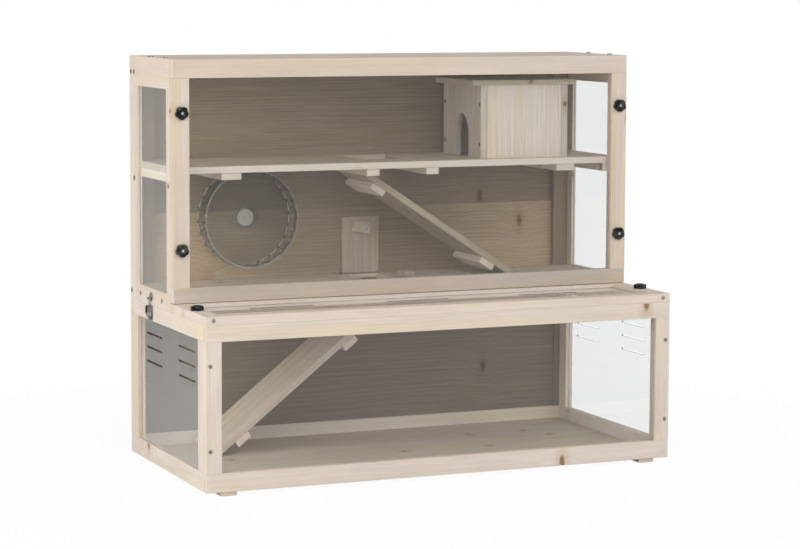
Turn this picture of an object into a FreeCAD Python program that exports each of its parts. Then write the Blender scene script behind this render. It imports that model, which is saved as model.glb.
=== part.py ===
"""Wooden hamster cage: a wide lower box with a sliding lid, and a tall cabinet with a lift-away
door, a shelf, two ramps, a floor hatch, a hut and a running wheel.

X runs from left to right, Y from front to back, Z upwards, all in millimetres. The origin is on
the ground, below the middle of the box.
"""

import FreeCAD
import Part
import Sketcher
import os
import re

SIZES = {
    # Overall body
    "body_width": 1150,
    "body_depth": 550,
    "runner_height": 10,
    "runner_width": 38,
    "runner_inset": 35,
    "runner_setback": 6,
    # Lower box
    "lower_height": 370,
    "frame_thickness": 20,
    "lower_post_width": 36,
    "lower_top_rail": 37,
    "lower_bottom_rail": 42,
    "base_thickness": 12,
    "back_panel_thickness": 6,
    # Clear sheets, their tongues in the grooves, and their vent slots
    "sheet_thickness": 3,
    "sheet_tongue": 8,
    "sheet_play": 0.3,
    "side_slot_width": 4,
    "side_slot_length": 112,
    "side_slot_offset": 118,
    "side_slot_drop": 35,
    "side_slot_pitch": 33,
    "lid_slot_width": 10,
    "lid_slot_length": 153,
    "lid_slot_pitch": 338,
    "lid_slot_offset": 38,
    # Lid
    "lid_thickness": 20,
    "lid_rail": 36,
    "lid_knob_setback": 113,
    # Door
    "door_thickness": 24,
    "door_gap": 1,
    "door_top_rail": 43,
    "door_bottom_rail": 35,
    "door_stile": 39,
    "knob_inset": 20,
    "knob_upper_drop": 121,
    "knob_lower_rise": 142,
    # Cabinet
    "cabinet_height": 573,
    "cabinet_depth": 300,
    "side_thickness": 12,
    "side_stile": 24,
    "side_bottom_rail": 39,
    "side_top_rail": 49,
    "corner_width": 50,
    "corner_depth": 40,
    "crown_height": 28,
    "roof_thickness": 20,
    "front_post_width": 14,
    "front_post_depth": 24,
    "wall_thickness": 12,
    "wall_recess": 13,
    "wall_joint_height": 199,
    # Bearers, floor, shelf and cleats
    "bearer_width": 36,
    "bearer_height": 20,
    "bearer_setback": 2,
    "floor_bearer_rise": 7,
    "floor_thickness": 9,
    "shelf_bearer_rise": 292,
    "shelf_thickness": 16,
    "cleat_height": 16,
    "outer_cleat_width": 48,
    "outer_cleat_inset": 137,
    "inner_cleat_width": 32,
    "inner_cleat_offset": 76,
    # Ramps
    "ramp_thickness": 16,
    "ramp_width": 160,
    "ramp_wall_gap": 20,
    "ramp_batten_length": 40,
    "ramp_batten_height": 15,
    "foot_batten_distance": 68,
    "head_batten_distance": 412,
    "upper_ramp_angle": 33.2,
    "upper_ramp_run": 383,
    "lower_ramp_angle": 38.2,
    # Floor hatch
    "flap_width": 95,
    "flap_length": 140,
    "flap_thickness": 9,
    "flap_play": 0.5,
    "flap_rim": 8,
    "flap_wall_gap": 1.5,
    "hatch_pin_diameter": 3,
    "hatch_pin_depth": 9,
    "pin_play": 0.05,
    "hatch_bracket_thickness": 3,
    "hatch_bracket_depth": 14,
    "hatch_bracket_height": 12,
    "hatch_bracket_foot": 12,
    # Turn buttons
    "button_length": 44,
    "button_width": 26,
    "button_thickness": 8,
    "button_pivot": 12,
    "button_play": 0.3,
    "button_tilt": 8.5,
    "flap_button_shift": 10,
    "flap_button_height": 107.6,
    "floor_button_shift": 65,
    "floor_button_setback": 162,
    "button_post_diameter": 14,
    # Hut
    "hut_side_gap": 120,
    "hut_width": 231,
    "hut_door_gap": 30,
    "hut_wall_gap": 30,
    "hut_headroom": 38,
    "hut_board": 16,
    "hut_board_play": 0.8,
    "hut_roof_thickness": 13,
    "hut_roof_overhang": 22,
    "doorway_width": 77,
    "doorway_side_height": 55,
    "doorway_height": 105,
    "hut_screw_rise": 33,
    "hut_screw_drop": 46,
    # Running wheel
    "wheel_side_distance": 262,
    "wheel_axle_height": 148,
    "wheel_diameter": 234,
    "wheel_depth": 60,
    "wheel_wall": 3,
    "wheel_slots": 24,
    "wheel_slot_length": 12,
    "wheel_slot_width": 10,
    "wheel_slot_setback": 6,
    "hub_diameter": 40,
    "hub_length": 10,
    "axle_diameter": 8,
    "axle_play": 0.06,
    "axle_flange_diameter": 46,
    "axle_flange_thickness": 4,
    "axle_cap_diameter": 14,
    "axle_cap_thickness": 3,
    "wheel_side_play": 0.5,
    # Star knobs
    "knob_diameter": 30,
    "knob_height": 12,
    "knob_dome": 40,
    "knob_lobes": 5,
    "knob_hollow_diameter": 18,
    "knob_hollow_ring": 44,
    "knob_insert_diameter": 7,
    "knob_insert_rise": 1,
    "knob_dish_diameter": 19,
    "knob_dish_depth": 3,
    "stud_diameter": 6,
    "stud_play": 0.3,
    "door_stud_reach": 20,
    # Screws and bolts
    "screw_head_diameter": 10,
    "screw_head_height": 3,
    "screw_diameter": 4,
    "screw_play": 0.1,
    "screw_sink": 0.6,
    "screw_rim": 0.5,
    "recess_length": 5.5,
    "recess_width": 1.1,
    "recess_depth": 1.8,
    "frame_screw_length": 45,
    "hut_screw_length": 30,
    "flap_screw_length": 14,
    "floor_screw_length": 25,
    "lower_screw_high": 280,
    "lower_screw_low": 92,
    "bolt_head_diameter": 12,
    "bolt_head_height": 2.5,
    "bolt_head_play": 0.5,
    "bolt_sink": 3.5,
    "bolt_socket_width": 5,
    "bolt_socket_depth": 1.7,
    "bolt_diameter": 5,
    "bolt_length": 40,
    "short_bolt_length": 24,
    "post_bolt_back": 10,
    "post_bolt_front": 33,
    "crown_bolt_drop": 9,
    "middle_bolt_height": 286,
    "foot_bolt_height": 18,
    "foot_bolt_back": 76,
    "foot_bolt_front": 62,
    "roof_bolt_inset": 8,
    "roof_bolt_back": 140,
    "roof_bolt_front": 50,
    # Toggle latches
    "latch_setback": 138,
    "latch_plate_width": 20,
    "latch_plate_thickness": 1.5,
    "latch_plate_height": 33,
    "latch_ear_depth": 9.5,
    "latch_ear_height": 10,
    "latch_ear_thickness": 1.5,
    "latch_pin_diameter": 3,
    "latch_pin_drop": 6,
    "lever_cheek_gap": 13.6,
    "lever_cheek_thickness": 1.4,
    "lever_thickness": 1.5,
    "lever_gap": 0.5,
    "lever_reach": 30,
    "lever_tip_width": 5,
    "lever_root": 6,
    "lever_root_wall": 2.5,
    "lever_tip_rise": 3.2,
    "lever_tip_thickness": 1.8,
    "loop_drop": 12,
    "loop_offset": 2.5,
    "loop_wire": 2.5,
    "loop_side_wire": 2.2,
    "loop_width": 9,
    "loop_height": 35,
    "hook_width": 5.6,
    "hook_clearance": 0.75,
    "hook_lip": 4.5,
    "catch_diameter": 20,
    "catch_thickness": 2.5,
    "latch_play": 0.1,
}

PLACES = {
    "half_width": "body_width / 2",
    "front_face": "-body_depth / 2",
    "back_face": "body_depth / 2",
    "lower_base": "runner_height",
    "lower_top": "lower_base + lower_height",
    "lower_window_low": "lower_base + lower_bottom_rail",
    "lower_window_high": "lower_top - lower_top_rail",
    "lower_floor_top": "lower_base + base_thickness",
    "lid_top": "lower_top + lid_thickness",
    "lid_back": "back_face - cabinet_depth",
    "door_front": "lid_back - door_thickness",
    "door_base": "lid_top + door_gap",
    "cabinet_top": "lower_top + cabinet_height",
    "knob_upper_z": "cabinet_top - knob_upper_drop",
    "knob_lower_z": "lower_top + knob_lower_rise",
    "door_window_low": "door_base + door_bottom_rail",
    "door_window_high": "cabinet_top - door_top_rail",
    "roof_base": "cabinet_top - roof_thickness",
    "crown_base": "cabinet_top - crown_height",
    "side_inner": "half_width - side_thickness",
    "corner_front": "back_face - corner_depth",
    "corner_inner": "half_width - corner_width",
    "wall_front": "back_face - wall_recess - wall_thickness",
    "side_window_low": "lower_top + side_bottom_rail",
    "side_window_high": "roof_base - side_top_rail",
    "bearer_front": "lid_back + bearer_setback",
    "floor_bearer_base": "lower_top + floor_bearer_rise",
    "floor_base": "floor_bearer_base + bearer_height",
    "floor_top": "floor_base + floor_thickness",
    "shelf_bearer_base": "lower_top + shelf_bearer_rise",
    "shelf_base": "shelf_bearer_base + bearer_height",
    "shelf_top": "shelf_base + shelf_thickness",
    "outer_cleat_offset": "side_inner - outer_cleat_inset",
    "ramp_back": "wall_front - ramp_wall_gap",
    "ramp_front": "ramp_back - ramp_width",
    "upper_ramp_head": "inner_cleat_width / 2 - inner_cleat_offset",
    "upper_ramp_foot": "upper_ramp_head + upper_ramp_run",
    "hatch_axis_y": "wall_front - flap_wall_gap - flap_thickness / 2",
    "hatch_axis_z": "floor_top + flap_play + flap_thickness / 2",
    "hatch_half": "flap_width / 2 - flap_rim",
    "hatch_front": "hatch_axis_y - flap_length + flap_thickness / 2 + flap_rim",
    "hatch_back": "hatch_axis_y - flap_thickness / 2 - flap_rim",
    "lower_ramp_rise": "floor_base - lower_floor_top",
    "lower_ramp_foot": "hatch_half + ramp_thickness / sin(lower_ramp_angle) "
                       "- lower_ramp_rise / tan(lower_ramp_angle)",
    "flap_front": "hatch_axis_y - flap_thickness / 2",
    "floor_button_base": "floor_top + flap_play + flap_thickness + 2 * button_play",
    "hut_front": "lid_back + hut_door_gap",
    "hut_back": "wall_front - hut_wall_gap",
    "hut_right": "side_inner - hut_side_gap",
    "hut_left": "hut_right - hut_width",
    "hut_wall_top": "roof_base - hut_headroom - hut_roof_thickness",
    "doorway_middle": "(hut_front + hut_back) / 2",
    "doorway_rise": "doorway_height - doorway_side_height",
    "doorway_arc": "(doorway_width * doorway_width / 4 + doorway_rise * doorway_rise) "
                   "/ doorway_width",
    "wheel_axis_x": "wheel_side_distance - side_inner",
    "wheel_axis_z": "floor_top + wheel_axle_height",
    "wheel_back": "wall_front - axle_flange_thickness - wheel_side_play",
    "wheel_front": "wheel_back - wheel_depth",
    "hub_front": "wheel_back - wheel_wall - hub_length",
    "knob_dish_radius": "knob_dish_diameter * knob_dish_diameter / 8 / knob_dish_depth "
                        "+ knob_dish_depth / 2",
    "knob_insert_height": "knob_height - knob_dish_depth + knob_insert_rise",
    "latch_y": "lid_back + latch_setback",
    "latch_pin_x": "latch_plate_thickness + latch_ear_depth - latch_pin_diameter",
    "latch_pin_z": "lower_top - latch_pin_drop",
    "loop_x": "latch_pin_x - loop_offset",
    "loop_z": "latch_pin_z - loop_drop",
    "loop_top": "loop_z + loop_height",
    "lever_outer": "latch_plate_thickness + latch_ear_depth + lever_gap + lever_thickness",
    "lever_inner": "loop_x - loop_wire",
    "lever_tip_z": "latch_pin_z - lever_reach",
    "lever_crown_z": "latch_pin_z + latch_pin_diameter",
}

ALONG_X = FreeCAD.Rotation(FreeCAD.Vector(0, 1, 0), 90)
AGAINST_X = FreeCAD.Rotation(FreeCAD.Vector(0, 1, 0), -90)
ALONG_Y = FreeCAD.Rotation(FreeCAD.Vector(1, 0, 0), -90)
AGAINST_Y = FreeCAD.Rotation(FreeCAD.Vector(1, 0, 0), 90)
AGAINST_Z = FreeCAD.Rotation(FreeCAD.Vector(1, 0, 0), 180)
UPRIGHT = FreeCAD.Rotation()

doc = FreeCAD.newDocument("hamster_cage")
nodes = []


def write_sheet():
    """Put every driving size in the sheet under its own name."""
    sheet = doc.addObject("Spreadsheet::Sheet", "sizes")
    for row, (name, value) in enumerate(SIZES.items(), start=1):
        sheet.set(f"A{row}", name)
        sheet.set(f"B{row}", str(value))
        sheet.setAlias(f"B{row}", name)
    doc.recompute()
    return sheet


sheet = write_sheet()


def tied(text):
    """Write out a formula so that each name in it refers to the sheet."""
    def refer(match):
        word = match.group(0)
        if word in PLACES:
            return f"({tied(PLACES[word])})"
        return f"sizes.{word}" if word in SIZES else word
    return re.sub(r"[a-z][a-z0-9_]*", refer, text)


def bind(thing, path, text):
    thing.setExpression(path, tied(str(text)))


def put(thing, place, turn=UPRIGHT):
    """Turn a piece and move its own origin to a place."""
    thing.Placement = FreeCAD.Placement(FreeCAD.Vector(), turn)
    for axis, text in zip("xyz", place):
        bind(thing, f"Placement.Base.{axis}", text)
    return thing


def box(name, low, high):
    """A board between its lowest and its highest corner."""
    board = doc.addObject("Part::Box", name)
    for side, start, end in zip(("Length", "Width", "Height"), low, high):
        bind(board, side, f"({end}) - ({start})")
    return put(board, low)


def cylinder(name, diameter, length, place=(0, 0, 0), turn=UPRIGHT):
    rod = doc.addObject("Part::Cylinder", name)
    bind(rod, "Radius", f"({diameter}) / 2")
    bind(rod, "Height", length)
    return put(rod, place, turn)


def group(name, parts):
    joined = doc.addObject("Part::Compound", name)
    joined.Links = parts
    return joined


def cut(name, base, tools):
    carved = doc.addObject("Part::Cut", name)
    carved.Base = base
    carved.Tool = tools[0] if len(tools) == 1 else group(f"{name}_tools", tools)
    return carved


def fuse(name, parts):
    whole = doc.addObject("Part::MultiFuse", name)
    whole.Shapes = parts
    return whole


def common(name, parts):
    """What all the parts share."""
    core = doc.addObject("Part::MultiCommon", name)
    core.Shapes = parts
    return core


def mirror(thing, normal):
    twin = doc.addObject("Part::Mirroring", f"{thing.Name}_twin")
    twin.Source = thing
    twin.Normal = normal
    return twin


def both_sides(thing):
    """A left-hand piece with its right-hand twin."""
    return group(f"{thing.Name}_pair", [thing, mirror(thing, (1, 0, 0))])


def front_and_back(thing):
    """A front piece with its twin at the back."""
    return group(f"{thing.Name}_rows", [thing, mirror(thing, (0, 1, 0))])


def copy_of(pattern, name, place, turn=UPRIGHT):
    """One more copy of a pattern piece, turned and moved."""
    return put(group(name, [pattern]), place, turn)


def node(name, thing):
    """Name a finished sub-part."""
    thing.Label = name
    nodes.append(thing)
    return thing


def plane_of(body, role):
    return next(item for item in body.Origin.OriginFeatures if item.Role == role)


def prism(name, role, corners, length, place):
    """A straight piece padded from a closed outline whose corners are tied to the sheet."""
    body = doc.addObject("PartDesign::Body", name)
    sketch = body.newObject("Sketcher::SketchObject", f"{name}_outline")
    sketch.AttachmentSupport = [(plane_of(body, role), "")]
    sketch.MapMode = "FlatFace"
    guess = [FreeCAD.Vector(*(worth(text) for text in corner), 0) for corner in corners]
    count = len(guess)
    for index, point in enumerate(guess):
        sketch.addGeometry(Part.LineSegment(point, guess[(index + 1) % count]), False)
    for index in range(count):
        sketch.addConstraint(Sketcher.Constraint("Coincident", index, 2, (index + 1) % count, 1))
    for index, corner in enumerate(corners):
        for kind, text in zip(("DistanceX", "DistanceY"), corner):
            value = worth(text)
            number = sketch.addConstraint(Sketcher.Constraint(kind, -1, 1, index, 1, value))
            bind(sketch, f"Constraints[{number}]", text)
    pad = body.newObject("PartDesign::Pad", f"{name}_pad")
    pad.Profile = sketch
    bind(pad, "Length", length)
    return put(body, place)


def worth(text):
    """The present value of a formula."""
    result = sheet.evalExpression(tied(str(text)).replace("sizes.", ""))
    return float(getattr(result, "Value", result))


def glazing(name, normal, middle, window):
    """A sheet in a window, with a tongue all round, and the groove that its frame needs.

    window holds the window's limits along X, Y and Z, and is None along the sheet's normal.
    """
    low = []
    high = []
    for axis, limits in zip("xyz", window):
        if axis == normal:
            low.append(f"({middle}) - sheet_thickness / 2")
            high.append(f"({middle}) + sheet_thickness / 2")
        else:
            low.append(f"({limits[0]}) - sheet_tongue")
            high.append(f"({limits[1]}) + sheet_tongue")
    groove = box(f"{name}_groove", [f"{text} - sheet_play" for text in low],
                 [f"{text} + sheet_play" for text in high])
    return box(f"{name}_sheet", low, high), groove


def screw_patterns(name, length):
    """A countersunk screw pointing along +Z, its head just below the face, and the hole it needs."""
    made = []
    for kind, play in (("screw", "0"), ("hole", "screw_play")):
        head = doc.addObject("Part::Cone", f"{name}_{kind}_head")
        bind(head, "Radius1", f"screw_head_diameter / 2 + {play}")
        bind(head, "Radius2", f"screw_diameter / 2 + {play}")
        bind(head, "Height", "screw_head_height")
        put(head, (0, 0, "screw_sink"))
        shank = cylinder(f"{name}_{kind}_shank", f"screw_diameter + 2 * {play}",
                         f"{length} + {play}", (0, 0, "screw_sink"))
        made.append([head, shank])
    solid, hole = made
    cross = [box(f"{name}_recess_along", ["-recess_length / 2", "-recess_width / 2", 0],
                 ["recess_length / 2", "recess_width / 2", "screw_sink + recess_depth"]),
             box(f"{name}_recess_across", ["-recess_width / 2", "-recess_length / 2", 0],
                 ["recess_width / 2", "recess_length / 2", "screw_sink + recess_depth"])]
    mouth = cylinder(f"{name}_mouth", "screw_head_diameter + 2 * screw_rim", "2 * screw_sink",
                     (0, 0, "-screw_sink"))
    return (cut(f"{name}_screw", fuse(f"{name}_screw_blank", solid),
                [fuse(f"{name}_recess", cross)]),
            fuse(f"{name}_hole", hole + [mouth]))


def bolt_patterns(name, length, sink):
    """A flat-headed bolt with a six-sided socket, pointing along +Z, and the hole it needs.

    sink is how deep the seat of its head lies below the face.
    """
    head = cylinder(f"{name}_bolt_head", "bolt_head_diameter", "bolt_head_height",
                    (0, 0, f"{sink} - bolt_head_height"))
    shank = cylinder(f"{name}_bolt_shank", "bolt_diameter", length)
    socket = doc.addObject("Part::Prism", f"{name}_bolt_socket")
    socket.Polygon = 6
    bind(socket, "Circumradius", "bolt_socket_width / sqrt(3)")
    bind(socket, "Height", "2 * bolt_socket_depth")
    put(socket, (0, 0, f"{sink} - bolt_head_height - bolt_socket_depth"))
    bore = cylinder(f"{name}_bolt_bore", "bolt_diameter + 2 * screw_play", f"{length} + screw_play")
    seat = cylinder(f"{name}_bolt_seat", "bolt_head_diameter + 2 * bolt_head_play",
                    f"{sink} + bolt_head_height", (0, 0, "-bolt_head_height"))
    return (cut(f"{name}_bolt", fuse(f"{name}_bolt_blank", [head, shank]), [socket]),
            fuse(f"{name}_bolt_hole", [bore, seat]))


def copies(patterns, name, spots, turn):
    """Copies of a fastener at each spot, and the holes for them."""
    solid, hole = patterns
    solids = [copy_of(solid, f"{name}_{number}", spot, turn)
              for number, spot in enumerate(spots)]
    holes = [copy_of(hole, f"{name}_hole_{number}", spot, turn)
             for number, spot in enumerate(spots)]
    return group(name, solids), group(f"{name}_holes", holes)


frame_screw = screw_patterns("frame", "frame_screw_length")
hut_screw = screw_patterns("hut", "hut_screw_length")
flap_screw = screw_patterns("flap", "flap_screw_length")
floor_screw = screw_patterns("floor", "floor_screw_length")
long_bolt = bolt_patterns("long", "bolt_length", "bolt_sink")
short_bolt = bolt_patterns("short", "short_bolt_length", "bolt_sink")
proud_bolt = bolt_patterns("proud", "bolt_length", "0")
root_screws = []
root_bolts = []


def build_lower_box():
    """The wide box with a clear front and clear slotted ends, open at the top."""
    left = "-half_width"
    side_front = "front_face + frame_thickness"
    side_back = "back_face - frame_thickness"
    window_front = "front_face + frame_thickness + lower_post_width"
    window_left = "lower_post_width - half_width"

    spots = [(f"{left} + frame_thickness / 2", "front_face", f"lower_base + {height}")
             for height in ("lower_screw_high", "lower_screw_low")]
    screws, screw_holes = copies(frame_screw, "lower_front_screws", spots, ALONG_Y)
    root_screws.append(both_sides(screws))

    front_sheet, front_groove = glazing(
        "lower_front", "y", "front_face + frame_thickness / 2",
        [(window_left, "half_width - lower_post_width"), None,
         ("lower_window_low", "lower_window_high")])
    side_sheet, side_groove = glazing(
        "lower_side", "x", "frame_thickness / 2 - half_width",
        [None, (window_front, "-(front_face + frame_thickness + lower_post_width)"),
         ("lower_window_low", "lower_window_high")])
    back_groove = box(
        "lower_back_groove",
        [f"{window_left} - sheet_tongue", "back_face - frame_thickness / 2 "
         "- back_panel_thickness / 2 - sheet_play", "lower_window_low - sheet_tongue"],
        ["half_width - lower_post_width + sheet_tongue", "back_face - frame_thickness / 2 "
         "+ back_panel_thickness / 2 + sheet_play", "lower_window_high + sheet_tongue"])

    rails = [box("lower_top_rail_front", [left, "front_face", "lower_window_high"],
                 ["half_width", side_front, "lower_top"]),
             box("lower_bottom_rail_front", [left, "front_face", "lower_base"],
                 ["half_width", side_front, "lower_window_low"])]
    long_rails = front_and_back(group("lower_rails", rails))
    node("lower_long_rails", cut("lower_long_rails_grooved", long_rails,
                                 [front_groove, back_groove]))

    post = box("lower_post", [left, "front_face", "lower_window_low"],
               [window_left, side_front, "lower_window_high"])
    posts = front_and_back(both_sides(post))
    node("lower_posts", cut("lower_posts_grooved", posts,
                            [front_groove, back_groove, both_sides(screw_holes)]))

    ends = [box("lower_end_top", [left, side_front, "lower_window_high"],
                ["frame_thickness - half_width", side_back, "lower_top"]),
            box("lower_end_bottom", [left, side_front, "lower_base"],
                ["frame_thickness - half_width", side_back, "lower_window_low"])]
    end_rails = cut("lower_end_rails_grooved", group("lower_end_rails", ends), [side_groove])
    node("lower_side_rails", both_sides(end_rails))

    stile = box("lower_stile", [left, side_front, "lower_window_low"],
                ["frame_thickness - half_width", window_front, "lower_window_high"])
    stiles = cut("lower_stiles_grooved", front_and_back(stile), [side_groove, screw_holes])
    node("lower_side_stiles", both_sides(stiles))

    slots = []
    for column, sign in enumerate(("-", "+")):
        for row in range(3):
            height = f"lower_window_high - side_slot_drop - {row} * side_slot_pitch"
            middle = f"{sign}side_slot_offset" if sign == "-" else "side_slot_offset"
            slots.append(box(
                f"lower_slot_{column}_{row}",
                [left, f"{middle} - side_slot_length / 2", f"{height} - side_slot_width / 2"],
                ["frame_thickness - half_width", f"{middle} + side_slot_length / 2",
                 f"{height} + side_slot_width / 2"]))
    node("lower_side_panels", both_sides(cut("lower_side_sheet_slotted", side_sheet, slots)))
    node("lower_front_panel", front_sheet)

    node("lower_back_panel", box(
        "lower_back_board",
        [f"{window_left} - sheet_tongue + sheet_play",
         "back_face - frame_thickness / 2 - back_panel_thickness / 2",
         "lower_window_low - sheet_tongue + sheet_play"],
        ["half_width - lower_post_width + sheet_tongue - sheet_play",
         "back_face - frame_thickness / 2 + back_panel_thickness / 2",
         "lower_window_high + sheet_tongue - sheet_play"]))

    node("lower_floor", box(
        "lower_floor_board", ["frame_thickness - half_width", side_front, "lower_base"],
        ["half_width - frame_thickness", side_back, "lower_floor_top"]))

    runner = box("runner", ["runner_inset - half_width", "front_face + runner_setback", 0],
                 ["runner_inset + runner_width - half_width", "back_face - runner_setback",
                  "runner_height"])
    node("runners", both_sides(runner))


def build_lid():
    """The framed clear lid over the front of the lower box, with long vent slots."""
    rail_back = "front_face + lid_rail"
    end_back = "lid_back - lid_rail"
    middle_y = "(front_face + lid_back) / 2"
    middle_z = "lower_top + lid_thickness / 2"
    sheet_blank, groove = glazing(
        "lid", "z", middle_z,
        [("lid_rail - half_width", "half_width - lid_rail"), (rail_back, end_back), None])

    end_middle = "lid_rail / 2 - half_width"
    front_screws, front_holes = copies(
        frame_screw, "lid_front_screws", [(end_middle, "front_face", middle_z)], ALONG_Y)
    back_screws, back_holes = copies(
        frame_screw, "lid_back_screws", [(end_middle, "lid_back", middle_z)], AGAINST_Y)
    holes = [both_sides(front_holes), both_sides(back_holes)]
    node("lid_screws", group("lid_screw_set", [both_sides(front_screws),
                                               both_sides(back_screws)]))

    rails = [box("lid_front_rail", ["-half_width", "front_face", "lower_top"],
                 ["half_width", rail_back, "lid_top"]),
             box("lid_back_rail", ["-half_width", end_back, "lower_top"],
                 ["half_width", "lid_back", "lid_top"])]
    node("lid_long_rails", cut("lid_long_rails_grooved", group("lid_rails", rails),
                               [groove] + holes))

    stud_hole = cylinder("lid_stud_hole", "stud_diameter + 2 * stud_play", "2 * lid_thickness",
                         (end_middle, "front_face + lid_knob_setback",
                          "lower_top - lid_thickness / 2"))
    end = box("lid_end", ["-half_width", rail_back, "lower_top"],
              ["lid_rail - half_width", end_back, "lid_top"])
    ends = cut("lid_end_bored", end, [groove, front_holes, back_holes, stud_hole])
    node("lid_end_rails", both_sides(ends))

    slots = []
    for column in (-1, 0, 1):
        for row, sign in enumerate((-1, 1)):
            across = f"{column} * lid_slot_pitch"
            along = f"{middle_y} + {sign} * lid_slot_offset"
            slots.append(box(
                f"lid_slot_{column + 1}_{row}",
                [f"{across} - lid_slot_length / 2", f"{along} - lid_slot_width / 2", "lower_top"],
                [f"{across} + lid_slot_length / 2", f"{along} + lid_slot_width / 2", "lid_top"]))
    node("lid_panel", cut("lid_sheet_slotted", sheet_blank, slots))


def build_door():
    """The framed clear front of the cabinet, held by four star knobs."""
    middle_y = "lid_back - door_thickness / 2"
    inner = "door_stile - half_width"
    sheet_blank, groove = glazing(
        "door", "y", middle_y,
        [(inner, "half_width - door_stile"), None, ("door_window_low", "door_window_high")])
    rails = [box("door_head", ["-half_width", "door_front", "door_window_high"],
                 ["half_width", "lid_back", "cabinet_top"]),
             box("door_sill", ["-half_width", "door_front", "door_base"],
                 ["half_width", "lid_back", "door_window_low"])]
    node("door_rails", cut("door_rails_grooved", group("door_rail_set", rails), [groove]))
    bores = [cylinder(f"door_bore_{name}", "stud_diameter + 2 * stud_play",
                      "3 * door_thickness",
                      ("knob_inset - half_width", "door_front - door_thickness",
                       f"knob_{name}_z"), ALONG_Y)
             for name in ("upper", "lower")]
    stile = box("door_side", ["-half_width", "door_front", "door_window_low"],
                [inner, "lid_back", "door_window_high"])
    node("door_stiles", both_sides(cut("door_side_bored", stile, [groove] + bores)))
    node("door_panel", sheet_blank)


def post_holes():
    """The holes in the front posts for the ends of the door's studs."""
    return [cylinder(f"post_bore_{name}", "stud_diameter + 2 * stud_play",
                     "door_stud_reach + stud_play + 1",
                     ("knob_inset - half_width", "lid_back - 1", f"knob_{name}_z"), ALONG_Y)
            for name in ("upper", "lower")]


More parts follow.
